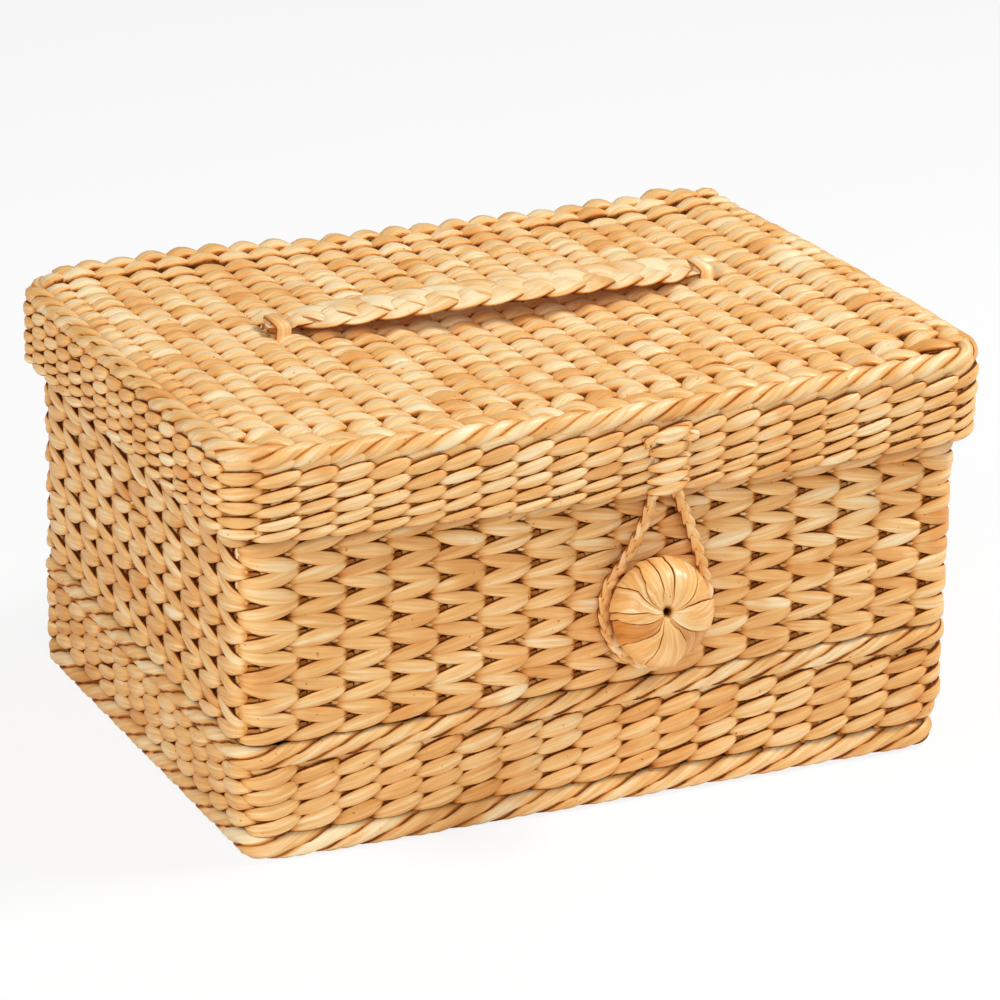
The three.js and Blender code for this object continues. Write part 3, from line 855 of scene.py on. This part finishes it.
class TWINEDBOX_OT_skirt(bpy.types.Operator):
    """Twine the lid's skirt and wind the keeper stitches over the clasp cord"""

    bl_idname = "twined_box.skirt"
    bl_label = "Lid Skirt"

    def execute(self, context):
        size = sizes()
        levels, heights = course_levels("lid_skirt", size.skirt_courses, 0.16)
        levels = levels[0] + 1.06 * (levels - levels[0])
        weave = Weave(30)

        def route_at(z):
            return lid_ring(z, size.skirt_wall / 2)

        routes = [(route_at(z), pitch) for z, pitch in zip(levels, heights)]
        tucked = lid_ring(levels[-1] + 0.7 * heights[-1], 0.8 * size.skirt_wall)
        for route, pitch in (*routes, (tucked, heights[-1])):
            stitch = {"rise": 0.32 * pitch, "bulge": 0.0017, "width": 0.57 * pitch}
            weave.twine(route, size.skirt_stitches, lean=1, depth=0.0016, **stitch)
        bottom = levels[0] - 0.5 * heights[0]
        add_stakes(weave, route_at, size.skirt_stitches, bottom, levels[-1] + heights[-1] / 2)
        finish = straw("skirt_straw", 0.01)
        weave.piece("skirt_weave", "lid", finish, ["lid_skirt"])
        self.keeper(levels, heights)
        return {"FINISHED"}

    def keeper(self, levels, heights):
        """Five stitches laid over both legs of the clasp cord."""
        weave = Weave(31)
        share = np.linspace(-1, 1, 15)
        arch = np.sqrt(np.clip(1 - share**2, 0, 1))
        for z, pitch in zip(levels, heights):
            aside = CLASP[0] + 0.0088 * share
            front = LID_FRONT + 0.0008 - 0.0026 * arch
            level = z + 0.0009 * share + weave.draw.normal(0, 0.0002)
            line = settle_lid(rows(aside, front, level))
            weave.plain_strand(line, (0, -1, 0), 0.6 * pitch, depth=0.0014, ease=0.42)
        weave.piece("keeper_stitches", "lid", straw("lid_straw"), ["clasp_keeper"])


class TWINEDBOX_OT_floor(bpy.types.Operator):
    """Twine the rows of the box floor"""

    bl_idname = "twined_box.floor"
    bl_label = "Floor"

    def execute(self, context):
        size = sizes()
        bottom, top = low("floor_panel"), high("floor_panel")
        pitch = (top[1] - bottom[1]) / size.floor_rows
        z = (bottom[2] + top[2]) / 2
        stitch = {"lean": 1, "rise": 0.06 * pitch, "bulge": 0.0013, "width": 0.57 * pitch}
        stitch["depth"] = 0.0015
        weave = Weave(40)
        for row in range(size.floor_rows):
            y = bottom[1] + (row + 0.5) * pitch
            route = row_route(top[0], y, z, 0.0, settle_box)
            weave.twine(route, size.floor_stitches, shape=LENS, closed=False, **stitch)
        weave.piece("floor_weave", "box", straw("wall_straw"), ["floor_panel"])
        return {"FINISHED"}


class TWINEDBOX_OT_handle(bpy.types.Operator):
    """Plait the handle strap and tie its ends to the lid"""

    bl_idname = "twined_box.handle"
    bl_label = "Handle"

    def execute(self, context):
        self.plait()
        self.tie(52, "handle_tie_left")
        self.tie(53, "handle_tie_right")
        return {"FINISHED"}

    def plait(self):
        """A strap that arches over the lid, leans to the front and is pinched at its ends."""
        size = sizes()
        bottom, top = low("handle_strap"), high("handle_strap")
        ends = middle("handle_tie_left"), middle("handle_tie_right")
        thick = 0.004
        rise = top[2] - bottom[2] - thick
        reach = (top[0] - bottom[0]) / 2
        neck = reach - 0.0097
        tilt = math.radians(9)

        def route(share):
            x = reach * (2 * share - 1)
            bow = size.strap_bow * np.clip(1 - (x / neck) ** 2, 0, 1)
            level = bottom[2] + thick / 2 + rise * (1 - (x / reach) ** 2)
            middle_x = (ends[0][0] + ends[1][0]) / 2
            centre = rows(middle_x + x, ends[0][1] - bow, level)
            out = np.tile((0.0, -math.sin(tilt), math.cos(tilt)), (len(x), 1))
            side = np.tile((0.0, math.cos(tilt), math.sin(tilt)), (len(x), 1))
            return settle_lid(centre), out, side

        def narrow(share):
            return np.interp(np.abs(2 * share - 1) * reach, (neck - 0.012, neck), (1.0, 0.6))

        weave = Weave(50)
        half = 0.0064
        swing = size.strap_width / 2 - 0.72 * half
        weave.plait(route, 2 * reach / size.strap_wave, swing, 0.0008, half, 0.0008, 36, narrow)
        finish = straw("strap_straw", 0.22, 0.45)
        weave.piece("handle_plait", "lid", finish, ["handle_strap"])

    def tie(self, seed, node):
        """A strand that goes over the strap's end, through the lid and across under it."""
        count = 40
        bottom, top = low(node), high(node)
        centre = (bottom + top) / 2
        depth = 0.0011
        half = (top - bottom) / 2 - depth
        centre[2] -= 0.001
        half[2] -= 0.001
        angle = np.linspace(0, 2 * np.pi, count, endpoint=False)
        cosine, sine = np.cos(angle), np.sin(angle)
        across = np.sign(cosine) * np.abs(cosine) ** 0.5
        upward = np.sign(sine) * np.abs(sine) ** 0.5
        x = centre[0] + 0.0006 * np.sin(3 * angle)
        line = rows(x, centre[1] + half[1] * across, centre[2] + half[2] * upward)
        weave = Weave(seed)
        weave.plain_strand(settle_lid(line), rows(0, cosine, sine), 0.003, depth, closed=True)
        name = node.replace("tie", "strand")
        weave.piece(name, "lid", straw("lid_straw"), [node])


class TWINEDBOX_OT_clasp(bpy.types.Operator):
    """Twist the clasp cord: its free loop and its two ends in the skirt"""

    bl_idname = "twined_box.clasp"
    bl_label = "Clasp Cord"

    def execute(self, context):
        size = sizes()
        rest = -(WALL_SIZE[1] / 2 + 0.0006 + size.cord / 2)
        edge = low("lid_skirt")[2]
        points = [
            (CLASP[0] + aside, rest + lift * (CLASP[1] - rest), edge - drop)
            for aside, drop, lift in LOOP_ROUTE
        ]
        route = curve_route(points, (0, -1, 0), np.copy)
        weave = Weave(60)
        self.twist(weave, route, size.cord)
        finish = straw("cord_straw")
        loop = weave.piece("clasp_loop_cord", "loop", finish, ["clasp_loop"])
        path = route(np.linspace(0, 1, 160))[0]
        self.end(61, -1, "clasp_end_left")
        self.end(62, 1, "clasp_end_right")
        return {"FINISHED"}

    def twist(self, weave, route, diameter):
        waves = route.length / (3.8 * diameter)
        half = 0.32 * diameter
        weave.plait(route, waves, 0.21 * diameter, 0.16 * diameter, half, 0.22 * diameter, 20)

    def end(self, seed, side, node):
        """A leg behind the keeper stitches, with its tail turned aside above them."""
        bottom, top = low(node), high(node)
        half = sizes().cord / 2
        x = CLASP[0] + side * 0.0048
        tail = bottom[0] + half if side < 0 else top[0] - half
        y = CLASP[1]
        front = bottom[1] + half
        points = (
            (x, y, bottom[2]),
            (x, y, (bottom[2] + top[2]) / 2),
            (x, y, top[2] - 2.4 * half),
            ((x + tail) / 2, (y + front) / 2, top[2] - 1.2 * half),
            (tail + side * 0.002, front, top[2] - half),
        )
        weave = Weave(seed)
        self.twist(weave, curve_route(points, (0, -1, 0), settle_lid), sizes().cord)
        weave.piece(node + "_cord", "lid", straw("cord_straw"), [node])


class TWINEDBOX_OT_button(bpy.types.Operator):
    """Wrap the ball that the clasp hooks behind, and knot its cord inside the wall"""

    bl_idname = "twined_box.button"
    bl_label = "Button"

    # Where the ball's hole looks, in degrees: above the horizontal, and aside from the front.
    LIFT = 19
    ASIDE = -15

    def execute(self, context):
        self.ball()
        self.shank()
        return {"FINISHED"}

    def ball(self):
        """Straps of uneven width that run from back to front and meet in a small sunken hole, which
        gets painted shade as do the creases between the straps.
        """
        bottom, top = low("button"), high("button")
        centre = (bottom + top) / 2
        half = (top - bottom) / 2 * 0.97
        half[1] = half[0] * 0.87
        centre[1] = top[1] - half[1]
        weave = Weave(70)
        bmesh.ops.create_uvsphere(weave.bm, u_segments=640, v_segments=112, radius=1.0)
        ball = np.array([vert.co for vert in weave.bm.verts])
        table = np.array(STRAPS)
        proud, tones, patchy = table[:, 4:].T
        out = np.hypot(ball[:, 0], ball[:, 1])
        down = np.arccos(np.clip(ball[:, 2], -1, 1))
        edges = np.radians([np.interp(down, STRAP_DEPTHS, row) for row in table[:, :4]])
        edges = np.concatenate((edges, edges[:1] + 2 * np.pi))
        turn = np.arctan2(ball[:, 1], ball[:, 0]) - edges[0]
        turn = edges[0] + turn % (2 * np.pi)
        strap = np.clip((turn >= edges).sum(axis=0) - 1, 0, len(table) - 1)
        corner = np.arange(len(ball))
        begin, end = edges[strap, corner], edges[strap + 1, corner]
        breadth = end - begin
        inside = (turn - begin) / breadth
        edge = np.minimum(inside, 1 - inside) * breadth * out
        crease = np.exp(-((edge / 0.01) ** 2)) * np.clip(out * 2, 0, 1)
        pleat = 0.014 * np.cos(2 * np.pi * inside * np.rint(breadth / 0.22))
        pleat = pleat * np.exp(-((out / 0.5) ** 2))
        step = 0.032 * (inside - 0.5) + proud[strap] + pleat
        swell = 0.985 - 0.035 * crease + step * np.clip(out * 1.5, 0, 1)
        hole = 0.5 * np.exp(-((out / 0.07) ** 2)) + 0.2 * np.exp(-((out / 0.4) ** 2))
        made = ball * swell[:, None]
        made[:, 2] -= np.where(ball[:, 2] > 0, hole, 0.0)
        lean = Matrix.Rotation(math.radians(90 - self.LIFT), 3, "X")
        aside = Matrix.Rotation(math.radians(self.ASIDE), 3, "Z")
        made = made @ np.array(aside @ lean).T
        across = inside * breadth * 0.02
        weave.places.append(centre + half * made)
        weave.fibres.append(rows(down * 0.02, across, strap + 0.5))
        # Painted shade in the creases between the straps and in the hole.
        dark = np.maximum(0.7 * crease, np.exp(-((out / 0.07) ** 2)) * (ball[:, 2] > 0))
        weave.marks.append(rows(tones[strap], dark, patchy[strap]))
        finish = straw("button_straw", -0.12, 0.42)
        weave.piece("button_ball", "box", finish, ["button"])

    def shank(self):
        """A cord from the ball through the wall to a knot inside."""
        bottom, top = low("button_cord"), high("button_cord")
        x, z = middle("button_cord")[0], middle("button_cord")[2]
        weave = Weave(71)
        route = line_route((x, bottom[1], z), (x, top[1] - 0.003, z), (1, 0, 0))
        weave.lay(route, 4, 3, (0.0012, 0.0012), 0.0015, 0.0012, steps=12, closed=False)
        count = 96
        angle = np.linspace(0, 4 * np.pi, count, endpoint=False)
        ring = 0.0035 + 0.0016 * np.cos(1.5 * angle)
        back = top[1] - 0.0028 + 0.0012 * np.sin(1.5 * angle)
        line = rows(x + ring * np.cos(angle), back, z + ring * np.sin(angle))
        weave.plain_strand(line, (0, 1, 0), width=0.0015, depth=0.0015, closed=True)
        weave.piece("button_knot", "box", straw("cord_straw"), ["button_cord"])


class TWINEDBOX_OT_hinge(bpy.types.Operator):
    """Tie the two cord rings that the lid turns on"""

    bl_idname = "twined_box.hinge"
    bl_label = "Hinge Ties"

    def execute(self, context):
        self.ring(80, "left")
        self.ring(81, "right")
        return {"FINISHED"}

    def ring(self, seed, side):
        node = "hinge_tie_" + side
        bottom, top = low(node), high(node)
        cord = top[0] - bottom[0]
        radius = (top[1] - bottom[1] - cord) / 2
        axis = np.array((middle(node)[0], HINGE[1], HINGE[2]))

        def route(share):
            angle = 2 * np.pi * share
            out = rows(0, np.cos(angle), np.sin(angle))
            return axis + radius * out, out, np.tile((1.0, 0.0, 0.0), (len(share), 1))

        weave = Weave(seed)
        weave.lay(route, 8, 2, (cord / 4, cord / 4), 0.28 * cord, cord / 4, steps=14)
        weave.piece("hinge_cord_" + side, "box", straw("cord_straw"), [node])


class TWINEDBOX_OT_stage(bpy.types.Operator):
    """Set up the camera, the soft lights and the pale floor"""

    bl_idname = "twined_box.stage"
    bl_label = "Stage"

    def execute(self, context):
        self.camera(context.scene)
        self.floor()
        self.light("key_light", (1.1, -0.3, 1.35), 0.45, 22.0)
        self.light("front_light", (-0.5, -1.7, 1.2), 0.9, 13.5)
        self.light("left_light", (-1.8, -0.4, 1.0), 0.9, 17.0)
        self.world(context.scene)
        context.scene.view_settings.view_transform = "Standard"
        return {"FINISHED"}

    def camera(self, scene):
        azimuth = math.radians(-24.55)
        elevation = math.radians(20.7)
        flat = Vector((math.sin(azimuth), -math.cos(azimuth), 0.0)) * math.cos(elevation)
        back = flat + Vector(UP) * math.sin(elevation)
        right = (-back).cross(Vector(UP)).normalized()
        upward = right.cross(-back)
        axes = Matrix((right, upward, back)).transposed()
        target = Vector((-0.02075, 0.01114, 0.07601))
        distance = 1.53075
        data = bpy.data.cameras.new("camera")
        data.lens = 4.03 * data.sensor_width
        data.shift_x = 0.07435
        data.shift_y = 0.0123
        camera = add_object("camera", data)
        roll = Matrix.Rotation(math.radians(0.92), 3, "Z")
        place = Matrix.Translation(target + back * distance)
        camera.matrix_world = place @ (axes @ roll).to_4x4()
        scene.camera = camera

    def floor(self):
        bm = bmesh.new()
        bmesh.ops.create_grid(bm, x_segments=4, y_segments=4, size=12.0)
        mesh = bpy.data.meshes.new("studio_floor")
        bm.to_mesh(mesh)
        bm.free()
        floor = add_object("studio_floor", mesh)
        material = bpy.data.materials.new("studio_floor")
        material.use_nodes = True
        tree = material.node_tree
        shader = tree.nodes["Principled BSDF"]
        shader.inputs["Base Color"].default_value = opaque(colours().floor)
        shader.inputs["Roughness"].default_value = 0.9
        start = Wire(tree, None)
        seen = start.add("ShaderNodeLightPath")
        white = start.add("ShaderNodeEmission", values={"Strength": 1.0})
        lit = Wire(tree, shader.outputs[0])
        mixed = start.add("ShaderNodeMixShader", values={0: seen * 0.86, 1: lit, 2: white})
        tree.links.new(mixed.socket, tree.nodes["Material Output"].inputs["Surface"])
        mesh.materials.append(material)

    def light(self, name, place, width, power):
        data = bpy.data.lights.new(name, "AREA")
        data.energy = power
        data.size = width
        light = add_object(name, data)
        target = Vector(middle("upper_band"))
        light.location = place
        light.rotation_euler = (target - Vector(place)).to_track_quat("-Z", "Y").to_euler()

    def world(self, scene):
        world = bpy.data.worlds.new("studio")
        world.use_nodes = True
        tree = world.node_tree
        background = tree.nodes["Background"]
        start = Wire(tree, None)
        seen = start.add("ShaderNodeLightPath")
        strength = seen * 0.84 + 0.16
        tree.links.new(strength.socket, background.inputs["Strength"])
        background.inputs["Color"].default_value = (1.0, 1.0, 1.0, 1.0)
        scene.world = world


class TWINEDBOX_PT_panel(bpy.types.Panel):
    """Lists the steps that dress the box"""

    bl_idname = "TWINEDBOX_PT_panel"
    bl_label = "Twined Box"
    bl_space_type = "VIEW_3D"
    bl_region_type = "UI"
    bl_category = "Twined Box"

    def draw(self, context):
        for step in STEPS:
            self.layout.operator(step.bl_idname)
        for group in (sizes(), colours()):
            for name in group.__annotations__:
                self.layout.prop(group, name)


STEPS = (
    TWINEDBOX_OT_stage,
    TWINEDBOX_OT_clasp,
    TWINEDBOX_OT_walls,
    TWINEDBOX_OT_borders,
    TWINEDBOX_OT_floor,
    TWINEDBOX_OT_lid_top,
    TWINEDBOX_OT_skirt,
    TWINEDBOX_OT_handle,
    TWINEDBOX_OT_button,
    TWINEDBOX_OT_hinge,
)
CLASSES = (TwinedBoxSizes, TwinedBoxColours, *STEPS, TWINEDBOX_PT_panel)


def register():
    for item in CLASSES:
        bpy.utils.register_class(item)
    bpy.types.Scene.twined_box_sizes = bpy.props.PointerProperty(type=TwinedBoxSizes)
    bpy.types.Scene.twined_box_colours = bpy.props.PointerProperty(type=TwinedBoxColours)


def unregister():
    del bpy.types.Scene.twined_box_sizes
    del bpy.types.Scene.twined_box_colours
    for item in reversed(CLASSES):
        bpy.utils.unregister_class(item)


def main():
    register()
    bpy.ops.twined_box.stage()
    bpy.ops.twined_box.clasp()
    bpy.ops.twined_box.walls()
    bpy.ops.twined_box.borders()
    bpy.ops.twined_box.floor()
    bpy.ops.twined_box.lid_top()
    bpy.ops.twined_box.skirt()
    bpy.ops.twined_box.handle()
    bpy.ops.twined_box.button()
    bpy.ops.twined_box.hinge()


if __name__ == "__main__":
    main()
